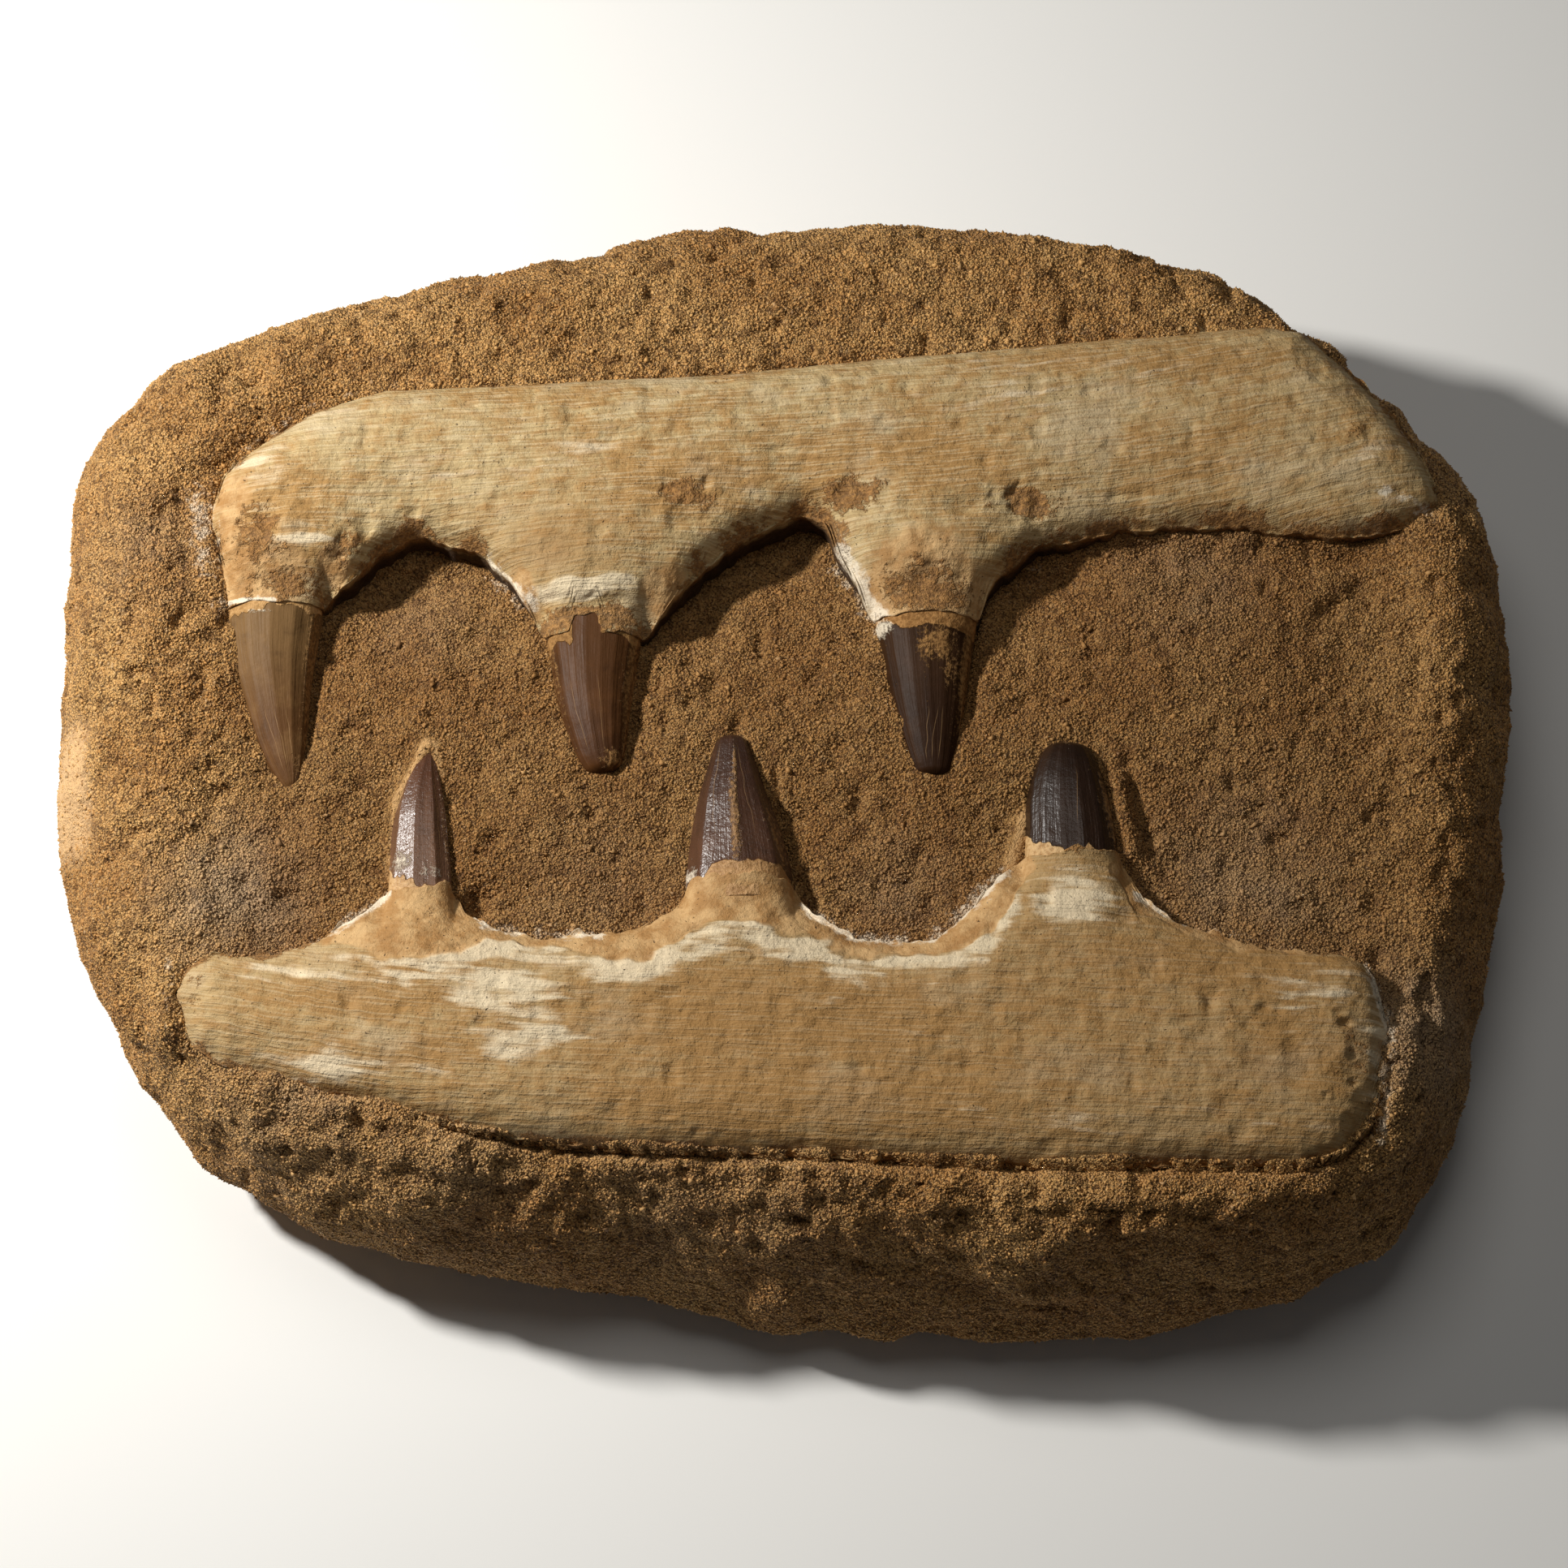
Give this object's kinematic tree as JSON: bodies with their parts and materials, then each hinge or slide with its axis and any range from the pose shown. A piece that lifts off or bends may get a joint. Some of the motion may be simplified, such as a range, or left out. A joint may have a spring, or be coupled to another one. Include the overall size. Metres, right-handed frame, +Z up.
{
  "type": "fossil jaws with teeth in matrix",
  "caption": "Rounded sandstone block lying flat, with an upper and a lower fossil jaw bone and their pointed teeth standing proud of its upper face.",
  "frame": {"origin": "middle of the block's footprint, on the surface it rests on", "axes": "+X along the jaws, +Y from the lower jaw to the upper jaw, +Z up out of the face that shows the teeth"},
  "size_m": [0.2525, 0.1967, 0.0518],
  "materials": {
    "sandstone": "matte",
    "bone": "matte",
    "enamel_brown": "satin",
    "enamel_dark": "satin"
  },
  "bodies": {
    "root": {"matrix": "sandstone", "upper_jaw": "bone", "lower_jaw": "bone", "upper_tooth_1": "enamel_brown", "upper_tooth_2": "enamel_dark", "upper_tooth_3": "enamel_dark", "lower_tooth_1": "enamel_brown", "lower_tooth_2": "enamel_dark", "lower_tooth_3": "enamel_dark"}
  },
  "joints": []
}
